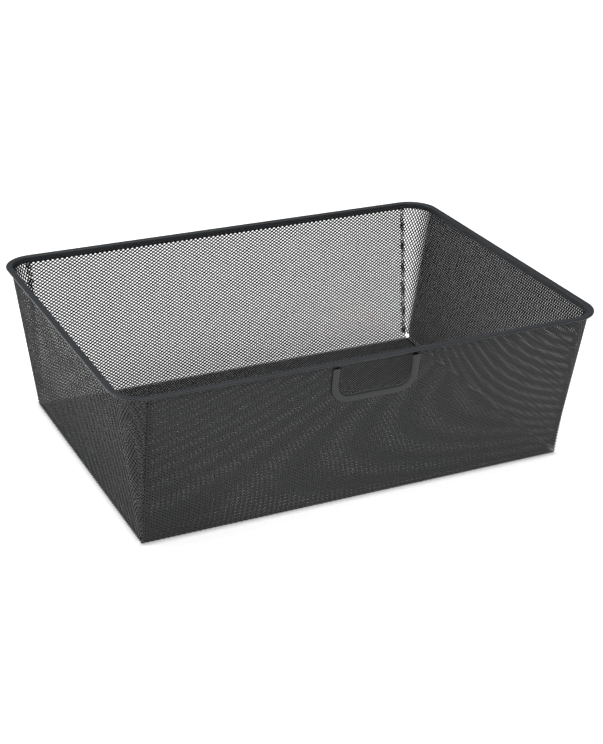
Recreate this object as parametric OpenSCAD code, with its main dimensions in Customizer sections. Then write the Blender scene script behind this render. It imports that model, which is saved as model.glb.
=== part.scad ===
// Mesh drawer basket with a flat overhanging rim and a hand opening in its front wall.
// Front, floor and back are one bent strip of expanded sheet, and each side is a
// second sheet whose round corners and flanges lap inside that strip.
// X runs along the front, Y from the front to the back, Z up, in millimetres.
// The origin is the centre of the floor's underside.

/* [Rim] */
// Width over the rim, left to right
rim_w = 580; // [400:5:800]
// Depth over the rim, front to back
rim_d = 420; // [300:5:600]
// Height from the floor's underside to the rim's top
height = 185; // [120:5:260]
// Thickness of the rim strip
rim_t = 1.2; // [0.8:0.1:2]
// Width of the rim's flat top
flange_w = 8; // [6:0.5:16]
// How far the outer lip hangs below the flat top
lip_drop = 1.2; // [0.6:0.2:6]
// How far the inner leg hangs below the flat top
leg_drop = 5.8; // [3:0.2:16]
// Radius of the rim's rolled edges
roll_r = 1.2; // [0.4:0.2:1.2]

/* [Walls] */
// Lean of the walls away from upright, in degrees
draft = 7.8; // [3:0.1:11]
// Thickness over the twisted strands of the expanded sheet
sheet_t = 1.2; // [0.5:0.1:1.5]
// Corner radius of the side sheets where they would meet the ground
foot_r = 5.8; // [4:0.2:20]
// Outer radius of the folds between floor and walls
fold_r = 4; // [2:0.5:8]
// Flat end of a side sheet's flange, past its round corner
flange_tail = 2.4; // [1:0.2:16]
// Flat part of a side sheet's tab on the floor
tab_w = 4.4; // [2:0.2:20]

/* [Openings of the sheet] */
// Long way of the mesh: along the front, floor and back, and upright on the sides
mesh_long = 51; // [40:1:90]
// Short way of the mesh
mesh_short = 34; // [26:1:60]
// Width of a strand
strand_w = 6; // [3:0.5:9]
// Plain band along the sheet's edges
edge_w = 4; // [3:0.5:10]

/* [Hand opening] */
// Clear width of the opening
hand_w = 87; // [60:1:140]
// Clear height below the rim's inner leg
hand_h = 36; // [25:1:60]
// Inner corner radius of the trim
hand_r = 14; // [4:1:20]
// Width of the trim's band, seen from the front
band_w = 8.7; // [6:0.1:14]
// Thickness of the trim through the wall
trim_t = 4; // [3:0.2:8]
// Depth of the trim's groove for the sheet's edge
groove_d = 5.5; // [3:0.1:5.5]

/* [Floor beads] */
// Distance of the outer bead from the foot of the walls
outer_bead_inset = 44; // [20:1:60]
// Distance of the inner bead from the foot of the walls
inner_bead_inset = 90; // [70:1:120]
// Width of a pressed bead
bead_w = 3; // [2:0.5:6]
// Height of a bead above the floor sheet
bead_h = 0.8; // [0.4:0.1:2]

/* [Clearances] */
// Between a sheet and the rim's inner leg, and below the flat top
rim_gap = 0.2; // [0.1:0.1:0.5]
// Between two lapped sheets
lap_gap = 0.2; // [0.1:0.1:0.6]
// Between the sheet and each side of the trim's groove
groove_gap = 0.2; // [0.1:0.1:0.4]

/* [Hidden] */
$fn = 48;

// Steps of a rolled edge
roll_steps = 4;
// Steps of a fold
fold_steps = 6;
// Columns that a round corner's openings are spaced by
corner_columns = 4;
// How far a cutter runs past what it cuts
over = 1;

rise = tan(draft);
// A sheet and a lap gap measured level instead of square to the wall
sheet_lv = sheet_t / cos(draft);
lap_lv = lap_gap / cos(draft);

// Underside of the side sheets' tabs, which lie on the floor sheet
tab_z = sheet_t + lap_gap;

// Axis of the round corners, shared by the side sheets and the rim
rim_r = exact(foot_r + (height - tab_z) * rise + flange_w - rim_t - rim_gap - sheet_lv);
corner_x = rim_w / 2 - rim_r;
corner_y = rim_d / 2 - rim_r;

// Outer faces where the walls would meet the ground: strip's edges, front and back
strip_half = exact(corner_x + foot_r - tab_z * rise);
main_foot = exact(corner_y + foot_r - tab_z * rise + lap_lv + sheet_lv);

// Length of a fold's tangents
fold_len = fold_r * tan((90 - draft) / 2);
floor_half = exact(main_foot - fold_len);

// Length of the walls up the slope, from the ground and from the tabs
main_len = (height - rim_t - rim_gap - sheet_t * sin(draft)) / cos(draft);
side_len = main_len - tab_z / cos(draft);

// Hand opening, measured up the slope of the front wall
leg_z = height - rim_t - leg_drop;
trim_v1 = (leg_z - rim_gap - trim_t * sin(draft)) / cos(draft);
hand_v0 = trim_v1 - hand_h;
notch_q = band_w - groove_d + groove_gap;

mesh_color = [0.36, 0.37, 0.37];
side_color = [0.31, 0.32, 0.33];
floor_color = [0.40, 0.41, 0.41];
rim_color = [0.26, 0.28, 0.30];
trim_color = [0.19, 0.20, 0.19];

// Lengths to a thousandth, so that faces that meet have the same numbers
function exact(x) = round(1000 * x) / 1000;

// Points of an arc about c from angle a0 to a1
function arc(c, r, a0, a1, n) =
    [for (i = [0:n]) c + r * [cos(a0 + (a1 - a0) * i / n), sin(a0 + (a1 - a0) * i / n)]];

// Outline in section, shifted outwards by x and up by z
function placed(points, x, z) = [for (p = points) [exact(p[0] + x), exact(p[1] + z)]];

// Rim strip in section: x is measured from its outer edge, y is the height
function rim_section() =
    let (
        inner = -flange_w,
        drop = rim_t + leg_drop,
        foot = inner - drop * rise
    )
    concat(
        [[0, -rim_t - lip_drop]],
        arc([-roll_r, -roll_r], roll_r, 0, 90, roll_steps),
        arc([inner + roll_r, -roll_r], roll_r, 90, 180, roll_steps),
        [
            [foot, -drop],
            [foot + rim_t, -drop],
            [inner + rim_t - rim_t * rise, -rim_t],
            [-rim_t, -rim_t],
            [-rim_t, -rim_t - lip_drop]
        ]
    );

// Point of a wall in section: v up the slope, depth inwards from the outer face
function wall_at(v, depth) =
    [v * sin(draft) - depth * cos(draft), v * cos(draft) + depth * sin(draft)];

// Wall above its fold, in section
function wall_section(len) =
    [wall_at(fold_len, 0), wall_at(len, 0), wall_at(len, sheet_t), wall_at(fold_len, sheet_t)];

// Wall with its fold and a flat tail, in section
function bent_section(len, tail) =
    let (c = [-fold_len, fold_r])
    concat(
        [[-fold_len - tail, 0]],
        arc(c, fold_r, -90, -draft, fold_steps),
        [wall_at(len, 0), wall_at(len, sheet_t)],
        arc(c, fold_r - sheet_t, -draft, -90, fold_steps),
        [[-fold_len - tail, sheet_t]]
    );

// Straight stretch of a section along Y, half long to each side
module run_y(points, half) {
    translate([0, half, 0])
        rotate([90, 0, 0])
            linear_extrude(2 * half)
                polygon(points);
}

// Quarter turn of a section about the upright axis
module quarter(points) {
    rotate_extrude(angle = 90)
        polygon(points);
}

// Even number of half pitches that fits a field best
function half_steps(field, pitch) = 2 * max(1, round(field / pitch));

// Four-pointed opening with half diagonals a and b, cut off at the edges of its field
module opening(c, a, b, lo, hi) {
    polygon([
        for (p = [[-a, 0], [0, -b], [a, 0], [0, b]])
            let (q = c + p)
            [min(max(q[0], lo[0]), hi[0]), min(max(q[1], lo[1]), hi[1])]
    ]);
}

// Staggered openings of a sheet between the corners lo and hi
module openings(lo, hi, pitch_x, pitch_y) {
    nx = half_steps(hi[0] - lo[0], pitch_x);
    ny = half_steps(hi[1] - lo[1], pitch_y);
    sx = (hi[0] - lo[0]) / nx;
    sy = (hi[1] - lo[1]) / ny;
    // Half diagonals that leave a strand of the asked width between two openings
    keep = 1 - strand_w * norm([sx, sy]) / (2 * sx * sy);
    for (i = [0:nx], j = [0:ny])
        if ((i + j) % 2 == 1)
            opening(lo + [i * sx, j * sy], sx * keep, sy * keep, lo, hi);
}

// Lays a drawing on the front wall: x stays, y runs up the slope, z = 0 is the outer face
module on_wall(foot) {
    translate([0, -foot, 0])
        rotate([90 + draft, 0, 0])
            children();
}

// Cutter through the front wall from a drawing on it
module wall_cut(foot) {
    on_wall(foot)
        translate([0, 0, -sheet_t - over])
            linear_extrude(sheet_t + 2 * over)
                children();
}

// Slot with a round bottom, open at the top, q wider than the clear hand opening
module hand_slot(q, top) {
    r = hand_r + q;
    half = hand_w / 2 + q;
    v0 = hand_v0 - q;
    translate([-half, v0 + r])
        square([2 * half, top - v0 - r]);
    translate([-half + r, v0])
        square([2 * (half - r), r + over]);
    for (s = [-1, 1])
        translate([s * (half - r), v0 + r])
            circle(r);
}

// Trim in section: x runs from the clear edge outwards, y through the wall
module trim_section() {
    nose = trim_t / 2;
    slot = sheet_t + 2 * groove_gap;
    difference() {
        union() {
            translate([nose, 0])
                circle(nose);
            translate([nose, -nose])
                square([band_w - nose, trim_t]);
        }
        translate([band_w - groove_d, -slot / 2])
            square([groove_d + over, slot]);
    }
}

// Round corner of a side sheet about its own axis. Its staggered openings stand in
// columns that narrow towards the foot, as the cone does.
module corner_cone() {
    low = fold_len + edge_w;
    high = side_len - edge_w;
    rows = half_steps(high - low, mesh_long);
    step = (high - low) / rows;
    turn = 90 / corner_columns;
    keep = 1 - strand_w * norm([mesh_short, mesh_long]) / (mesh_short * mesh_long);
    difference() {
        quarter(placed(wall_section(side_len), foot_r, 0));
        for (i = [1:corner_columns - 1])
            rotate(90 + i * turn)
                on_wall(foot_r)
                    translate([0, 0, -foot_r])
                        linear_extrude(2 * foot_r + over)
                            for (j = [0:rows])
                                if ((i + j) % 2 == 1) {
                                    v = low + j * step;
                                    half = (foot_r + v * sin(draft)) * sin(turn * keep);
                                    opening([0, v], half, step * keep, [-half, low], [half, high]);
                                }
    }
}

// Bead pressed into the floor, set in by the same distance on all four sides
module bead(inset) {
    outer = 2 * [strip_half - inset + bead_w / 2, main_foot - inset + bead_w / 2];
    linear_extrude(sheet_t + bead_h)
        difference() {
            square(outer, center = true);
            square(outer - 2 * [bead_w, bead_w], center = true);
        }
}

// Rim strip: four straight runs and four quarter turns
module rim() {
    color(rim_color)
        for (side = [0, 1])
            mirror([side, 0, 0]) {
                run_y(placed(rim_section(), rim_w / 2, height), corner_y);
                rotate(90)
                    run_y(placed(rim_section(), rim_d / 2, height), corner_x);
                rotate(-90)
                    run_y(placed(rim_section(), rim_d / 2, height), corner_x);
                for (end = [0, 1])
                    mirror([0, end, 0])
                        translate([corner_x, corner_y, 0])
                            quarter(placed(rim_section(), rim_r, height));
            }
}

// Edge trim of the hand opening: two legs, two round corners and a bottom run
module handle_trim() {
    straight = hand_w / 2 - hand_r;
    color(trim_color)
        on_wall(main_foot)
            translate([0, 0, -sheet_t / 2]) {
                for (side = [0, 1])
                    mirror([side, 0, 0]) {
                        translate([hand_w / 2, trim_v1, 0])
                            rotate([90, 0, 0])
                                linear_extrude(hand_h - hand_r)
                                    trim_section();
                        translate([straight, hand_v0 + hand_r, 0])
                            rotate(-90)
                                rotate_extrude(angle = 90)
                                    translate([hand_r, 0])
                                        trim_section();
                    }
                translate([straight, hand_v0, 0])
                    rotate([90, 0, -90])
                        linear_extrude(2 * straight)
                            trim_section();
            }
}

// Front wall of the main strip with its fold, before its openings are cut
module main_wall() {
    rotate(-90)
        run_y(placed(bent_section(main_len, 0), main_foot, 0), strip_half);
}

// Openings of the main strip's wall, between its plain bands
module main_openings() {
    margin = [edge_w, edge_w];
    openings([-strip_half, fold_len] + margin, [strip_half, main_len] - margin,
             mesh_long, mesh_short);
}

module front_panel() {
    color(mesh_color)
        difference() {
            main_wall();
            wall_cut(main_foot) {
                difference() {
                    main_openings();
                    hand_slot(band_w + groove_gap, main_len);
                }
                hand_slot(notch_q, main_len + over);
            }
        }
}

module back_panel() {
    color(mesh_color)
        rotate(180)
            difference() {
                main_wall();
                wall_cut(main_foot)
                    main_openings();
            }
}

module floor_panel() {
    margin = [edge_w, edge_w];
    half = [strip_half, floor_half];
    color(floor_color) {
        linear_extrude(sheet_t)
            difference() {
                square(2 * half, center = true);
                openings(margin - half, half - margin, mesh_long, mesh_short);
            }
        bead(outer_bead_inset);
        bead(inner_bead_inset);
    }
}

// Side sheet: wall, fold and floor tab, two round corners and their flange tails
module right_panel() {
    low = [-corner_y, fold_len] + [edge_w, edge_w];
    high = [corner_y, side_len] - [edge_w, edge_w];
    color(side_color)
        translate([0, 0, tab_z]) {
            difference() {
                run_y(placed(bent_section(side_len, tab_w), corner_x + foot_r, 0), corner_y);
                rotate(90)
                    wall_cut(corner_x + foot_r)
                        openings(low, high, mesh_short, mesh_long);
            }
            for (side = [0, 1])
                mirror([0, side, 0]) {
                    translate([corner_x, corner_y, 0])
                        corner_cone();
                    translate([corner_x - flange_tail / 2, 0, 0])
                        rotate(90)
                            run_y(placed(wall_section(side_len), corner_y + foot_r, 0),
                                  flange_tail / 2);
                }
        }
}

module left_panel() {
    mirror([1, 0, 0])
        right_panel();
}

rim();
handle_trim();
front_panel();
floor_panel();
back_panel();
left_panel();
right_panel();
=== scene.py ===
"""Expanded metal drawer basket, built as real strands over its solid model."""

import math

import bpy
import numpy as np
from bpy.props import FloatProperty, FloatVectorProperty, PointerProperty
from bpy.types import Operator, Panel, PropertyGroup
from mathutils import Matrix, Vector


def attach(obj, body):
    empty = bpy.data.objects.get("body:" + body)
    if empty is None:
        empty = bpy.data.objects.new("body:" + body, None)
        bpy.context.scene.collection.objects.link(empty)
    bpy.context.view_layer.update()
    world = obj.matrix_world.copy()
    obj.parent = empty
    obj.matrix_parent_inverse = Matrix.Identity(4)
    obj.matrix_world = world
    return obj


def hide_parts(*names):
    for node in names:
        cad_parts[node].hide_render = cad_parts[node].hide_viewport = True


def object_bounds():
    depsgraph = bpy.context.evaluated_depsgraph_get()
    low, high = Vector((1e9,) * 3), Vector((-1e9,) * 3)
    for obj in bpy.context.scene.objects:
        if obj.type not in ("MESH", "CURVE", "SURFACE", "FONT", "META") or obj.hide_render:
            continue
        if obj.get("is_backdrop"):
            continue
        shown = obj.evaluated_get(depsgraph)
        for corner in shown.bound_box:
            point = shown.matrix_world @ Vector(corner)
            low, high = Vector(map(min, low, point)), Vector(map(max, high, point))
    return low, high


bl_info = {
    "name": "Expanded Metal Basket",
    "version": (1, 0, 0),
    "blender": (4, 5, 0),
    "location": "3D View > Sidebar > Basket",
    "description": "Builds an expanded metal drawer basket with its rim and hand opening",
    "category": "Add Mesh",
}

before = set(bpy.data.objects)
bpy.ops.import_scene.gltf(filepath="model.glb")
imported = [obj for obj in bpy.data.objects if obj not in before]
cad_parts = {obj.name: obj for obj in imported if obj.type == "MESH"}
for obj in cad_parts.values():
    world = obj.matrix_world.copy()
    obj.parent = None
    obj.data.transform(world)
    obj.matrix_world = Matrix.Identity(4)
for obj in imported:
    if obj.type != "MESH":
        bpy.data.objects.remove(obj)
CAD_LOW, CAD_HIGH = (list(corner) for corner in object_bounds())

MM = 0.001
BODY = "root"

# Vertices of a knot: its four corners on the outer face, then the same on the inner face
KNOT_POINTS = 8
INNER = 4
TOP, RIGHT, BOTTOM, LEFT = range(4)

# Groove of the trim: its depth, and the play beside the sheet in it
GROOVE_DEPTH = 5.5 * MM
GROOVE_PLAY = 0.2 * MM
# How far the sheet's cut edge stands in the groove
EDGE_HELD = 5 * MM
# Rounding inside the bends of the rim strip, and on the trim's outer edges
BEND_ROUND = 0.4 * MM
TRIM_ROUND = 0.6 * MM
# Edges of rim and trim that turn by more than this stay sharp
SHARP_ANGLE = math.radians(40)


class BasketSizes(PropertyGroup):
    """Lengths of the basket, the same as those of its solid model."""

    width: FloatProperty(
        name="Width", description="Width over the rim", default=CAD_HIGH[0] - CAD_LOW[0], unit="LENGTH"
    )
    depth: FloatProperty(
        name="Depth", description="Depth over the rim", default=CAD_HIGH[1] - CAD_LOW[1], unit="LENGTH"
    )
    height: FloatProperty(
        name="Height", description="Height over the rim", default=CAD_HIGH[2], unit="LENGTH"
    )
    draft: FloatProperty(
        name="Draft",
        description="Lean of the walls away from upright",
        default=math.radians(7.8),
        subtype="ANGLE",
    )
    strip_thick: FloatProperty(
        name="Rim strip", description="Thickness of the rim strip", default=1.2 * MM, unit="LENGTH"
    )
    flange: FloatProperty(
        name="Flange", description="Width of the rim's flat top", default=8 * MM, unit="LENGTH"
    )
    lip: FloatProperty(
        name="Lip", description="Height of the rim's outer lip", default=2.4 * MM, unit="LENGTH"
    )
    leg: FloatProperty(
        name="Leg", description="Height of the rim's inner leg", default=7 * MM, unit="LENGTH"
    )
    sheet: FloatProperty(
        name="Sheet",
        description="Thickness over the twisted strands of the sheet",
        default=1.2 * MM,
        unit="LENGTH",
    )
    foot_radius: FloatProperty(
        name="Foot radius",
        description="Corner radius of the side sheets at the foot",
        default=5.8 * MM,
        unit="LENGTH",
    )
    fold_radius: FloatProperty(
        name="Fold radius",
        description="Outer radius of the folds between floor and walls",
        default=4 * MM,
        unit="LENGTH",
    )
    rim_gap: FloatProperty(
        name="Rim gap", description="Between a sheet and the rim's leg", default=0.2 * MM, unit="LENGTH"
    )
    lap_gap: FloatProperty(
        name="Lap gap", description="Between two lapped sheets", default=0.2 * MM, unit="LENGTH"
    )
    flange_tail: FloatProperty(
        name="Flange tail",
        description="Flat end of a side sheet's flange, past its round corner",
        default=2.4 * MM,
        unit="LENGTH",
    )
    tab: FloatProperty(
        name="Tab", description="Flat part of a side sheet's tab", default=4.4 * MM, unit="LENGTH"
    )
    hand_width: FloatProperty(
        name="Hand width", description="Clear width of the opening", default=87 * MM, unit="LENGTH"
    )
    hand_height: FloatProperty(
        name="Hand height", description="Clear height below the rim's leg", default=36 * MM, unit="LENGTH"
    )
    hand_radius: FloatProperty(
        name="Hand radius", description="Inner corner radius of the trim", default=14 * MM, unit="LENGTH"
    )
    band: FloatProperty(
        name="Trim band", description="Width of the trim's face", default=8.7 * MM, unit="LENGTH"
    )
    band_thick: FloatProperty(
        name="Trim thickness", description="Thickness of the trim", default=4 * MM, unit="LENGTH"
    )


class MeshSizes(PropertyGroup):
    """Lengths of the expanded metal."""

    long_way: FloatProperty(
        name="Long way", description="Long pitch of the openings", default=6 * MM, unit="LENGTH"
    )
    short_way: FloatProperty(
        name="Short way", description="Short pitch of the openings", default=4 * MM, unit="LENGTH"
    )
    knot_long: FloatProperty(
        name="Knot length", description="Half length of a knot", default=1.1 * MM, unit="LENGTH"
    )
    knot_short: FloatProperty(
        name="Knot height", description="Half height of a knot", default=0.85 * MM, unit="LENGTH"
    )
    strand_thick: FloatProperty(
        name="Strand", description="Thickness of a strand", default=0.6 * MM, unit="LENGTH"
    )
    twist: FloatProperty(
        name="Twist", description="How far a strand's edge turns out", default=0.3 * MM, unit="LENGTH"
    )


class CoatColors(PropertyGroup):
    """Colours of the coated steel."""

    mesh: FloatVectorProperty(
        name="Mesh",
        description="Colour of the expanded sheets",
        default=(0.011, 0.012, 0.0135),
        subtype="COLOR",
        size=3,
    )
    rim: FloatVectorProperty(
        name="Rim",
        description="Colour of the rim strip",
        default=(0.030, 0.035, 0.040),
        subtype="COLOR",
        size=3,
    )
    trim: FloatVectorProperty(
        name="Trim",
        description="Colour of the hand opening's trim",
        default=(0.030, 0.032, 0.032),
        subtype="COLOR",
        size=3,
    )
    floor: FloatVectorProperty(
        name="Ground",
        description="Colour of the ground",
        default=(0.90, 0.90, 0.90),
        subtype="COLOR",
        size=3,
    )


def sizes():
    return bpy.context.scene.basket_sizes


def strands():
    return bpy.context.scene.basket_mesh


def colors():
    return bpy.context.scene.basket_colors


class Layout:
    """Places worked out from the basket's lengths."""

    def __init__(self):
        s = sizes()
        self.rise = math.tan(s.draft)
        level = 1 / math.cos(s.draft)
        self.tab_z = s.sheet + s.lap_gap
        self.rim_radius = (
            s.foot_radius
            + (s.height - self.tab_z) * self.rise
            + s.flange
            - s.strip_thick
            - s.rim_gap
            - s.sheet * level
        )
        self.corner_x = s.width / 2 - self.rim_radius
        self.corner_y = s.depth / 2 - self.rim_radius
        ground_radius = s.foot_radius - self.tab_z * self.rise
        self.strip_half = self.corner_x + ground_radius
        self.main_foot = self.corner_y + ground_radius + (s.lap_gap + s.sheet) * level
        self.turn = math.pi / 2 - s.draft
        self.fold_len = s.fold_radius * math.tan(self.turn / 2)
        self.floor_half = self.main_foot - self.fold_len
        self.fold_mid = s.fold_radius - s.sheet / 2
        self.main_len = (
            s.height - s.strip_thick - s.rim_gap - s.sheet * math.sin(s.draft)
        ) * level
        self.side_len = self.main_len - self.tab_z * level
        leg_z = s.height - s.leg
        self.hand_top = (leg_z - s.rim_gap - s.band_thick * math.sin(s.draft)) * level
        self.hand_low = self.hand_top - s.hand_height

    def along_main(self, v):
        """Distance along the bent strip's middle, from the basket's centre, of a point v up a wall."""
        return self.floor_half + self.fold_mid * self.turn + v - self.fold_len


def main_point(lay, x, s, n):
    """Points of the bent strip: x across, s along from the centre, n outwards of its middle."""
    z = sizes()
    a = np.abs(s)
    arc = lay.fold_mid * lay.turn
    angle = np.clip((a - lay.floor_half) / lay.fold_mid, 0, lay.turn)
    wall = np.maximum(a - lay.floor_half - arc, 0)
    flat = np.minimum(a, lay.floor_half)
    radius = lay.fold_mid + n
    y = flat + radius * np.sin(angle) + wall * math.cos(lay.turn)
    height = z.fold_radius - radius * np.cos(angle) + wall * math.sin(lay.turn)
    return np.stack([x, np.where(s < 0, -y, y), height], axis=-1)


def side_point(lay, s, v, n):
    """Points of the right side sheet: s along Y from its middle, v along its fold and up its slope."""
    z = sizes()
    sin_d = math.sin(z.draft)
    cos_d = math.cos(z.draft)
    mid = z.foot_radius - z.sheet / 2 * cos_d
    lift = z.sheet / 2 * sin_d
    a = np.abs(s)
    over = np.maximum(a - lay.corner_y, 0)
    apex = -mid / sin_d
    reach = np.hypot(over, v - apex)
    phi = np.arctan2(over, v - apex)
    phi_max = math.pi / 2 * sin_d
    on_cone = phi <= phi_max
    theta = np.minimum(phi / sin_d, math.pi / 2)
    along = np.where(on_cone, reach, over * math.sin(phi_max) + (v - apex) * math.cos(phi_max))
    past = np.where(on_cone, 0, over * math.cos(phi_max) - (v - apex) * math.sin(phi_max))
    radius = along * sin_d + n * cos_d
    x = lay.corner_x + radius * np.cos(theta) - past
    y = np.minimum(a, lay.corner_y) + radius * np.sin(theta)
    height = lay.tab_z + lift + (along + apex) * cos_d - n * sin_d
    # The fold and the tab below the wall
    arc = lay.fold_mid * lay.turn
    down = lay.fold_len - v
    angle = lay.turn - np.clip(down / lay.fold_mid, 0, lay.turn)
    tab = np.maximum(down - arc, 0)
    fold_x = lay.corner_x + z.foot_radius - lay.fold_len - tab + (lay.fold_mid + n) * np.sin(angle)
    fold_z = lay.tab_z + z.fold_radius - (lay.fold_mid + n) * np.cos(angle)
    low = down > 0
    x = np.where(low, fold_x, x)
    height = np.where(low, fold_z, height)
    past = np.where(low, 0, past)
    return np.stack([x, np.where(s < 0, -y, y), height], axis=-1), past


def add_object(name, verts, faces, material, smooth=False):
    """New mesh object in the scene, riding on the basket."""
    mesh = bpy.data.meshes.new(name)
    verts = np.asarray(verts, np.float32)
    faces = np.asarray(faces, np.int32)
    count, corners = faces.shape
    mesh.vertices.add(len(verts))
    mesh.vertices.foreach_set("co", verts.ravel())
    mesh.loops.add(count * corners)
    mesh.loops.foreach_set("vertex_index", faces.ravel())
    mesh.polygons.add(count)
    mesh.polygons.foreach_set("loop_start", np.arange(0, count * corners, corners, dtype=np.int32))
    mesh.polygons.foreach_set("loop_total", np.full(count, corners, np.int32))
    mesh.polygons.foreach_set("use_smooth", np.full(count, smooth))
    mesh.update(calc_edges=True)
    mesh.validate()
    obj = bpy.data.objects.new(name, mesh)
    bpy.context.scene.collection.objects.link(obj)
    mesh.materials.append(material)
    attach(obj, BODY)
    return obj


def expanded_net(low, high, upright, keep, place):
    """Vertices and faces of expanded metal over the flat field from low to high.

    The long way runs along the first direction, or along the second where upright is true.
    keep(u, v) says where a knot stands, and place(u, v, n) bends the flat sheet."""
    w = strands()
    pitch = (w.short_way, w.long_way) if upright else (w.long_way, w.short_way)
    step_u, step_v = pitch[0] / 2, pitch[1] / 2
    i0, i1 = math.ceil(low[0] / step_u), math.floor(high[0] / step_u)
    j0, j1 = math.ceil(low[1] / step_v), math.floor(high[1] / step_v)
    ii, jj = np.meshgrid(np.arange(i0, i1 + 1), np.arange(j0, j1 + 1), indexing="ij")
    u, v = ii * step_u, jj * step_v
    stands = ((ii + jj) % 2 == 0) & keep(u, v)
    index = np.full(stands.shape, -1)
    index[stands] = np.arange(stands.sum())
    knots = np.stack([u[stands], v[stands]], axis=-1)
    # Corners of a knot: top, right, bottom, left of a sheet whose long way lies level
    if upright:
        corners = [(-w.knot_short, 0), (0, w.knot_long), (w.knot_short, 0), (0, -w.knot_long)]
    else:
        corners = [(0, w.knot_short), (w.knot_long, 0), (0, -w.knot_short), (-w.knot_long, 0)]
    # A strand is twisted out of the sheet, so a knot's upper edge stands out and its lower in
    turned = (w.twist, 0, -w.twist, 0)
    half = w.strand_thick / 2
    parts = []
    for side in (1, -1):
        for (du, dv), out in zip(corners, turned):
            shifted = np.full(len(knots), out + side * half)
            parts.append(place(knots[:, 0] + du, knots[:, 1] + dv, shifted))
    verts = np.stack(parts, axis=1).reshape(-1, 3)
    quads = []

    def add(*columns):
        quads.append(np.stack(columns, axis=-1))

    base = np.arange(len(knots)) * KNOT_POINTS
    inner = base + INNER
    add(base + TOP, base + LEFT, base + BOTTOM, base + RIGHT)
    add(inner + TOP, inner + RIGHT, inner + BOTTOM, inner + LEFT)
    # A strand's two ways: steps to the neighbour, own two corners and the neighbour's two
    if upright:
        links = [((-1, 1), TOP, RIGHT, BOTTOM, LEFT), ((1, 1), RIGHT, BOTTOM, LEFT, TOP)]
    else:
        links = [((1, 1), TOP, RIGHT, BOTTOM, LEFT), ((1, -1), RIGHT, BOTTOM, LEFT, TOP)]
    for (di, dj), a, b, c, d in links:
        here, there = neighbours(index, di, dj)
        p, q = here * KNOT_POINTS, there * KNOT_POINTS
        add(p + a, p + b, q + c, q + d)
        add(p + INNER + b, p + INNER + a, q + INNER + d, q + INNER + c)
        add(p + a, q + d, q + INNER + d, p + INNER + a)
        add(p + b, p + INNER + b, q + INNER + c, q + c)
    faces = np.concatenate(quads)
    caps = end_caps(index, links)
    return verts, np.concatenate([faces, caps])


def neighbours(index, di, dj):
    """Pairs of standing knots that lie di and dj steps apart."""
    ni, nj = index.shape
    here = index[max(0, -di) : ni - max(0, di), max(0, -dj) : nj - max(0, dj)]
    there = index[max(0, di) : ni + min(0, di), max(0, dj) : nj + min(0, dj)]
    both = (here >= 0) & (there >= 0)
    return here[both], there[both]


def end_caps(index, links):
    """Faces that close a knot where no strand leaves it."""
    caps = []
    for (di, dj), a, b, c, d in links:
        for sign, first, second in ((1, a, b), (-1, c, d)):
            here, _ = neighbours(index, sign * di, sign * dj)
            bare = np.ones(index.max() + 1, bool)
            bare[here] = False
            p = np.nonzero(bare)[0] * KNOT_POINTS
            corners = [p + first, p + INNER + first, p + INNER + second, p + second]
            caps.append(np.stack(corners, axis=-1))
    return np.concatenate(caps)


def slot_mask(lay, x, v, margin):
    """True outside the hand opening, grown by margin; v runs up the front wall."""
    z = sizes()
    half = z.hand_width / 2 + margin
    radius = z.hand_radius + margin
    low = lay.hand_low - margin
    ax = np.abs(x)
    inside = (ax < half) & (v > low + radius)
    inside |= (ax < half - radius) & (v > low)
    inside |= np.hypot(ax - half + radius, v - low - radius) < radius
    return ~inside


def sweep(section, stations):
    """Points of a closed section at each station: its base and the section's two directions."""
    section = np.asarray(section)
    rings = [
        np.asarray(base) + np.outer(section[:, 0], outward) + np.outer(section[:, 1], up)
        for base, outward, up in stations
    ]
    return np.concatenate(rings)


def ring_faces(rings, points, closed):
    """Quads between rings of points, joined to a loop where closed."""
    faces = []
    for r in range(rings if closed else rings - 1):
        for k in range(points):
            m = (k + 1) % points
            a, b = r * points, (r + 1) % rings * points
            faces.append((a + k, b + k, b + m, a + m))
    return faces


def arc(center, radius, start, end, steps):
    """Points of an arc, angles in degrees."""
    turns = np.radians(np.linspace(start, end, steps + 1))
    return np.stack([center[0] + radius * np.cos(turns), center[1] + radius * np.sin(turns)], axis=-1)


def rim_section():
    """Rim strip in section: outwards from its outer edge, and up from its top."""
    s = sizes()
    t = s.strip_thick
    roll = t
    drop = math.tan(s.draft)
    foot = -s.flange - s.leg * drop
    tip = t / 2
    points = [
        arc((-tip, -s.lip + tip), tip, 180, 360, 6),
        arc((-roll, -roll), roll, 0, 90, 6),
        arc((-s.flange + roll, -roll), roll, 90, 180, 6),
        arc((foot + tip, -s.leg + tip), tip, 180, 360, 6),
        [(-s.flange + t, -t - BEND_ROUND), (-s.flange + t + BEND_ROUND, -t)],
        [(-t - BEND_ROUND, -t), (-t, -t - BEND_ROUND)],
    ]
    return np.concatenate([np.asarray(p) for p in points])


def rim_stations(lay):
    """Stations round the rim's outer edge."""
    s = sizes()
    stations = []
    corner_steps = 20
    for sx, sy, start in ((1, 1, 0), (-1, 1, 90), (-1, -1, 180), (1, -1, 270)):
        center = Vector((sx * lay.corner_x, sy * lay.corner_y, s.height))
        for k in range(corner_steps + 1):
            turn = math.radians(start + 90 * k / corner_steps)
            outward = Vector((math.cos(turn), math.sin(turn), 0))
            stations.append((center + lay.rim_radius * outward, outward, Vector((0, 0, 1))))
    return stations


def trim_section():
    """Rounded trim of the hand opening: from its clear edge outwards, and through the wall."""
    s = sizes()
    half = s.band_thick / 2
    far = s.band
    slot = s.sheet / 2 + GROOVE_PLAY
    bottom = far - GROOVE_DEPTH
    edge = TRIM_ROUND
    return np.concatenate(
        [
            arc((half, 0), half, 90, 270, 10),
            arc((far - edge, -half + edge), edge, -90, 0, 3),
            [(far, -slot), (bottom, -slot), (bottom, slot), (far, slot)],
            arc((far - edge, half - edge), edge, 0, 90, 3),
        ]
    )


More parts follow.
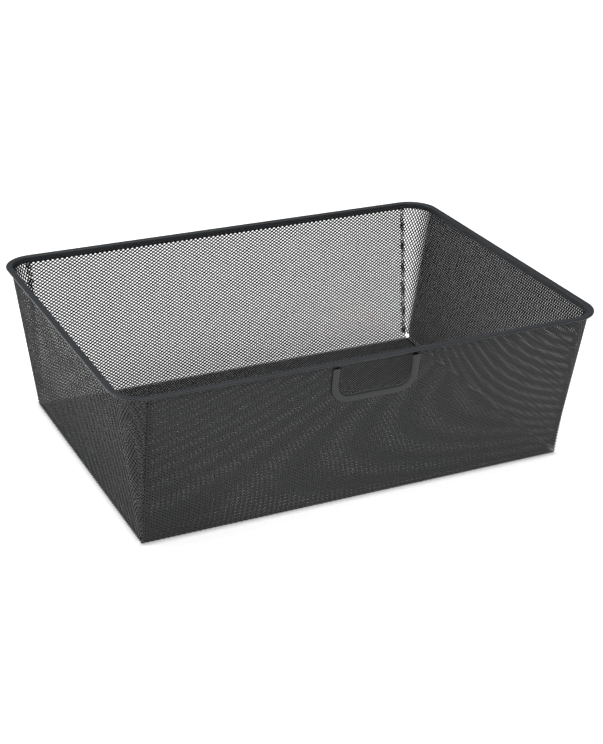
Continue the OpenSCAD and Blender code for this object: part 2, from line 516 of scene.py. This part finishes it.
def trim_stations(lay):
    """Stations along the U round the hand opening, on the front wall."""
    s = sizes()
    up = Vector((0, -math.sin(s.draft), math.cos(s.draft)))
    out = Vector((0, -math.cos(s.draft), -math.sin(s.draft)))
    foot = Vector((0, -lay.main_foot, 0)) - out * (s.sheet / 2)
    straight = s.hand_width / 2 - s.hand_radius
    low = lay.hand_low + s.hand_radius

    def station(x, v, turn):
        side = Vector((math.cos(turn), 0, 0)) + up * math.sin(turn)
        return foot + Vector((x, 0, 0)) + up * v, side, out

    stations = [station(-s.hand_width / 2, lay.hand_top, math.pi)]
    steps = 12
    for center, start in ((-straight, 180), (straight, 270)):
        for k in range(steps + 1):
            turn = math.radians(start + 90 * k / steps)
            x = center + s.hand_radius * math.cos(turn)
            stations.append(station(x, low + s.hand_radius * math.sin(turn), turn))
    stations.append(station(s.hand_width / 2, lay.hand_top, 0))
    return stations


def calculation(nodes, operation, *values):
    """Math node, with a value for each input that has a constant."""
    node = nodes.new("ShaderNodeMath")
    node.operation = operation
    for socket, value in values:
        node.inputs[socket].default_value = value
    return node


def coat_variation():
    """Shader group: colour and roughness of a powder coat with its fine orange peel."""
    group = bpy.data.node_groups.get("Powder Coat")
    if group:
        return group
    group = bpy.data.node_groups.new("Powder Coat", "ShaderNodeTree")
    sockets = {
        "INPUT": {"Colour": "Color", "Grain Size": "Float", "Unevenness": "Float", "Roughness": "Float"},
        "OUTPUT": {"Colour": "Color", "Roughness": "Float", "Height": "Float"},
    }
    for way, entries in sockets.items():
        for name, kind in entries.items():
            group.interface.new_socket(name, in_out=way, socket_type="NodeSocket" + kind)
    nodes, links = group.nodes, group.links
    inputs = nodes.new("NodeGroupInput")
    outputs = nodes.new("NodeGroupOutput")
    place = nodes.new("ShaderNodeTexCoord")
    # Fine grain for the height, and broad patches for colour and roughness
    grain = nodes.new("ShaderNodeTexNoise")
    grain.inputs["Detail"].default_value = 3
    patches = nodes.new("ShaderNodeTexNoise")
    patches.inputs["Scale"].default_value = 14
    patches.inputs["Detail"].default_value = 4
    for noise in (grain, patches):
        links.new(place.outputs["Object"], noise.inputs["Vector"])
    links.new(inputs.outputs["Grain Size"], grain.inputs["Scale"])
    links.new(grain.outputs["Fac"], outputs.inputs["Height"])
    centred = calculation(nodes, "SUBTRACT", (1, 0.5))
    links.new(patches.outputs["Fac"], centred.inputs[0])
    spread = calculation(nodes, "MULTIPLY_ADD", (2, 1))
    links.new(centred.outputs["Value"], spread.inputs[0])
    links.new(inputs.outputs["Unevenness"], spread.inputs[1])
    tint = nodes.new("ShaderNodeVectorMath")
    tint.operation = "SCALE"
    links.new(inputs.outputs["Colour"], tint.inputs[0])
    links.new(spread.outputs["Value"], tint.inputs["Scale"])
    links.new(tint.outputs["Vector"], outputs.inputs["Colour"])
    rough = calculation(nodes, "MULTIPLY_ADD", (1, 0.16))
    links.new(centred.outputs["Value"], rough.inputs[0])
    links.new(inputs.outputs["Roughness"], rough.inputs[2])
    links.new(rough.outputs["Value"], outputs.inputs["Roughness"])
    return group


def coated_steel(name, color, roughness, grain_size, grain_depth):
    """Powder-coated steel."""
    material = bpy.data.materials.new(name)
    material.use_nodes = True
    nodes, links = material.node_tree.nodes, material.node_tree.links
    shader = nodes["Principled BSDF"]
    coat = nodes.new("ShaderNodeGroup")
    coat.node_tree = coat_variation()
    coat.inputs["Colour"].default_value = (*color, 1)
    coat.inputs["Grain Size"].default_value = grain_size
    coat.inputs["Unevenness"].default_value = 0.35
    coat.inputs["Roughness"].default_value = roughness
    links.new(coat.outputs["Colour"], shader.inputs["Base Color"])
    links.new(coat.outputs["Roughness"], shader.inputs["Roughness"])
    bump = nodes.new("ShaderNodeBump")
    bump.inputs["Strength"].default_value = grain_depth
    bump.inputs["Distance"].default_value = 0.1 * MM
    links.new(coat.outputs["Height"], bump.inputs["Height"])
    links.new(bump.outputs["Normal"], shader.inputs["Normal"])
    shader.inputs["Metallic"].default_value = 0.0
    return material


def mesh_coat():
    name = "Mesh coat"
    known = bpy.data.materials.get(name)
    return known or coated_steel(name, colors().mesh, roughness=0.42, grain_size=1500, grain_depth=0.2)


def rim_coat():
    return coated_steel("Rim coat", colors().rim, roughness=0.38, grain_size=1800, grain_depth=0.35)


def trim_coat():
    return coated_steel("Trim coat", colors().trim, roughness=0.45, grain_size=1800, grain_depth=0.3)


def swept_object(name, section, stations, closed, material):
    """Smooth object from a section swept along stations, with its sharp edges kept."""
    verts = sweep(section, stations)
    faces = ring_faces(len(stations), len(section), closed)
    obj = add_object(name, verts, faces, material, smooth=True)
    obj.data.set_sharp_from_angle(angle=SHARP_ANGLE)
    return obj


class BASKET_OT_main_sheet(Operator):
    """Builds the front, floor and back of the bent strip."""

    bl_idname = "basket.main_sheet"
    bl_label = "Main sheet"

    def execute(self, context):
        z = sizes()
        lay = Layout()
        top = lay.along_main(lay.main_len)
        folded = lay.floor_half + lay.fold_mid * lay.turn / 2
        half = lay.strip_half
        pieces = {
            "front_mesh": (-top, -folded),
            "floor_mesh_front": (-folded, 0),
            "floor_mesh_back": (0, folded),
            "back_mesh": (folded, top),
        }

        def place(u, v, n):
            return main_point(lay, u, v, n)

        for name, (start, end) in pieces.items():
            # Neighbouring pieces share the row of knots where they meet
            margin = strands().short_way / 2
            low = (-half + strands().knot_long, start - (margin if start > -top else -margin / 2))
            high = (half - strands().knot_long, end + (0 if end < top else -margin / 2))

            def keep(u, v):
                if name != "front_mesh":
                    return np.ones(u.shape, bool)
                slope = -v - lay.along_main(0)
                return slot_mask(lay, u, slope, z.band - EDGE_HELD)

            verts, faces = expanded_net(low, high, False, keep, place)
            obj = add_object(name, verts, faces, mesh_coat())
            if name.startswith("floor"):
                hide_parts("floor_panel")
            else:
                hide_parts(name.replace("mesh", "panel"))
        return {"FINISHED"}


class BASKET_OT_side_sheets(Operator):
    """Builds the two side sheets with their round corners, flanges and floor tabs."""

    bl_idname = "basket.side_sheets"
    bl_label = "Side sheets"

    def execute(self, context):
        z = sizes()
        lay = Layout()
        arc_len = lay.fold_mid * lay.turn
        reach = lay.corner_y + lay.rim_radius * math.pi / 2 + z.flange_tail
        low = (-reach, lay.fold_len - arc_len - z.tab)
        high = (reach, lay.side_len - strands().knot_long)

        def place(u, v, n):
            return side_point(lay, u, v, n)[0]

        def keep(u, v):
            points, past = side_point(lay, u, v, np.zeros(u.shape))
            flat = np.abs(u) <= lay.corner_y
            wall = v >= lay.fold_len + strands().knot_long
            top = points[..., 2] < z.height - z.strip_thick - z.rim_gap - strands().knot_long
            return (flat | (wall & (past < z.flange_tail))) & top

        verts, faces = expanded_net(low, high, True, keep, place)
        for side, name in ((1, "right"), (-1, "left")):
            points = verts * np.array([side, 1, 1])
            quads = faces if side == 1 else faces[:, ::-1]
            obj = add_object(name + "_mesh", points, quads, mesh_coat())
            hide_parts(name + "_panel")
        return {"FINISHED"}


class BASKET_OT_rim(Operator):
    """Builds the rolled rim strip."""

    bl_idname = "basket.rim"
    bl_label = "Rim"

    def execute(self, context):
        obj = swept_object("rim_strip", rim_section(), rim_stations(Layout()), True, rim_coat())
        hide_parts("rim")
        return {"FINISHED"}


class BASKET_OT_trim(Operator):
    """Builds the edge trim of the hand opening."""

    bl_idname = "basket.trim"
    bl_label = "Hand opening trim"

    def execute(self, context):
        obj = swept_object("hand_trim", trim_section(), trim_stations(Layout()), False, trim_coat())
        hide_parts("handle_trim")
        return {"FINISHED"}


class BASKET_OT_stage(Operator):
    """Builds the camera, the lamps, the sky and the ground."""

    bl_idname = "basket.stage"
    bl_label = "Stage"

    # The photograph's viewpoint: turn, height and roll in degrees, distance and
    # sideways and upward shift of the centre in millimetres
    azimuth = -26.385
    elevation = 25.431
    roll = 1.546
    distance = 1949.2 * MM
    shift_right = -13.12 * MM
    shift_up = -67.22 * MM
    # Focal length and longer side of the picture, in pixels
    focal = 1615.8
    longer_side = 744
    # Light of the sky, as a share of the white that the camera sees in it
    sky_light = 0.16
    # Half width of the ground, in metres
    ground_reach = 12
    # Share of white that the ground shows by itself
    ground_glow = 0.7
    # Half width of the band round the basket's foot where the painted shade below the basket gives way to
    # the glow
    painted_shade_edge = 6 * MM

    def execute(self, context):
        self.camera(context)
        self.lights(context)
        self.ground(context)
        return {"FINISHED"}

    def camera(self, context):
        a, e, r = (math.radians(v) for v in (self.azimuth, self.elevation, self.roll))
        back = Vector((math.sin(a) * math.cos(e), -math.cos(a) * math.cos(e), math.sin(e)))
        level = (-back).cross(Vector((0, 0, 1))).normalized()
        upright = level.cross(-back)
        right = math.cos(r) * level + math.sin(r) * upright
        up = -math.sin(r) * level + math.cos(r) * upright
        place = back * self.distance - right * self.shift_right - up * self.shift_up
        data = bpy.data.cameras.new("Camera")
        data.sensor_width = 36
        data.lens = self.focal / self.longer_side * data.sensor_width
        data.clip_start = 0.05
        data.clip_end = 50
        camera = bpy.data.objects.new("Camera", data)
        context.scene.collection.objects.link(camera)
        turn = Matrix((right, up, back)).transposed().to_4x4()
        camera.matrix_world = Matrix.Translation(place) @ turn
        context.scene.camera = camera

    def lamp(self, context, name, place, size, power):
        """Area lamp that faces the basket: place and size in metres, power in watts."""
        data = bpy.data.lights.new(name, "AREA")
        data.shape = "RECTANGLE"
        data.size, data.size_y = size
        data.energy = power
        lamp = bpy.data.objects.new(name, data)
        context.scene.collection.objects.link(lamp)
        lamp.location = place
        lamp.rotation_euler = (-Vector(place)).to_track_quat("-Z", "Y").to_euler()

    def lights(self, context):
        self.lamp(context, "Top lamp", (0.2, 0.3, 2.4), (2.4, 2.4), 34)
        self.lamp(context, "Back left lamp", (-1.6, 1.2, 1.5), (1.4, 1.2), 18)
        self.lamp(context, "Front lamp", (-0.8, -2.2, 1.4), (1.6, 1.2), 8)
        world = bpy.data.worlds.new("Studio")
        context.scene.world = world
        world.use_nodes = True
        nodes, links = world.node_tree.nodes, world.node_tree.links
        sky = nodes["Background"]
        sky.inputs["Color"].default_value = (1, 1, 1, 1)
        seen = nodes.new("ShaderNodeLightPath")
        strength = nodes.new("ShaderNodeMixRGB")
        strength.inputs["Color1"].default_value = (*[self.sky_light] * 3, 1)
        strength.inputs["Color2"].default_value = (1, 1, 1, 1)
        links.new(seen.outputs["Is Camera Ray"], strength.inputs["Fac"])
        links.new(strength.outputs["Color"], sky.inputs["Strength"])

    def ground(self, context):
        far = self.ground_reach
        mesh = bpy.data.meshes.new("Ground")
        corners = [(-far, -far, 0), (far, -far, 0), (far, far, 0), (-far, far, 0)]
        mesh.from_pydata(corners, [], [(0, 1, 2, 3)])
        ground = bpy.data.objects.new("Ground", mesh)
        context.scene.collection.objects.link(ground)
        material = bpy.data.materials.new("Ground")
        material.use_nodes = True
        nodes, links = material.node_tree.nodes, material.node_tree.links
        shader = nodes["Principled BSDF"]
        shader.inputs["Base Color"].default_value = (*colors().floor, 1)
        shader.inputs["Roughness"].default_value = 0.9
        shader.inputs["Emission Color"].default_value = (1, 1, 1, 1)
        # The ground glows white to the camera and in gloss, and still takes the cast shadow; below the
        # basket the glow is left out, which paints shade under it
        seen = nodes.new("ShaderNodeLightPath")
        gloss = calculation(nodes, "MAXIMUM")
        glow = calculation(nodes, "MULTIPLY")
        links.new(seen.outputs["Is Camera Ray"], gloss.inputs[0])
        links.new(seen.outputs["Is Glossy Ray"], gloss.inputs[1])
        links.new(gloss.outputs["Value"], glow.inputs[0])
        links.new(self.painted_shade_under_basket(nodes, links), glow.inputs[1])
        links.new(glow.outputs["Value"], shader.inputs["Emission Strength"])
        mesh.materials.append(material)
        ground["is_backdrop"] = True

    def painted_shade_under_basket(self, nodes, links):
        """Glow of the ground: none below the basket, which paints shade under it, and full a short way
        outside it.
        """
        lay = Layout()
        place = nodes.new("ShaderNodeTexCoord")
        split = nodes.new("ShaderNodeSeparateXYZ")
        links.new(place.outputs["Object"], split.inputs["Vector"])
        outside = calculation(nodes, "MAXIMUM")
        for k, (axis, half) in enumerate((("X", lay.strip_half), ("Y", lay.main_foot))):
            size = calculation(nodes, "ABSOLUTE")
            past = calculation(nodes, "SUBTRACT", (1, half))
            links.new(split.outputs[axis], size.inputs[0])
            links.new(size.outputs["Value"], past.inputs[0])
            links.new(past.outputs["Value"], outside.inputs[k])
        # No glow below the basket, so painted shade under it, ramping to full glow over a band round its
        # foot
        ramp = nodes.new("ShaderNodeMapRange")
        ramp.inputs["From Min"].default_value = -self.painted_shade_edge
        ramp.inputs["From Max"].default_value = self.painted_shade_edge
        ramp.inputs["To Min"].default_value = 0
        ramp.inputs["To Max"].default_value = self.ground_glow
        links.new(outside.outputs["Value"], ramp.inputs["Value"])
        return ramp.outputs["Result"]


class BASKET_PT_build(Panel):
    """Lists the basket's pieces and sizes."""

    bl_idname = "BASKET_PT_build"
    bl_label = "Basket"
    bl_space_type = "VIEW_3D"
    bl_region_type = "UI"
    bl_category = "Basket"

    def draw(self, context):
        layout = self.layout
        for operator in OPERATORS:
            layout.operator(operator.bl_idname)
        for group in (sizes(), strands(), colors()):
            for name in group.bl_rna.properties.keys():
                if name not in ("rna_type", "name"):
                    layout.prop(group, name)


GROUPS = {"basket_sizes": BasketSizes, "basket_mesh": MeshSizes, "basket_colors": CoatColors}
OPERATORS = (
    BASKET_OT_stage,
    BASKET_OT_main_sheet,
    BASKET_OT_side_sheets,
    BASKET_OT_rim,
    BASKET_OT_trim,
)


def register():
    for cls in (*GROUPS.values(), *OPERATORS, BASKET_PT_build):
        bpy.utils.register_class(cls)
    for name, cls in GROUPS.items():
        setattr(bpy.types.Scene, name, PointerProperty(type=cls))


def unregister():
    for name in GROUPS:
        delattr(bpy.types.Scene, name)
    for cls in reversed((*GROUPS.values(), *OPERATORS, BASKET_PT_build)):
        bpy.utils.unregister_class(cls)


def main():
    register()
    bpy.context.scene.view_settings.view_transform = "Standard"
    bpy.ops.basket.stage()
    bpy.ops.basket.main_sheet()
    bpy.ops.basket.side_sheets()
    bpy.ops.basket.rim()
    bpy.ops.basket.trim()


if __name__ == "__main__":
    main()
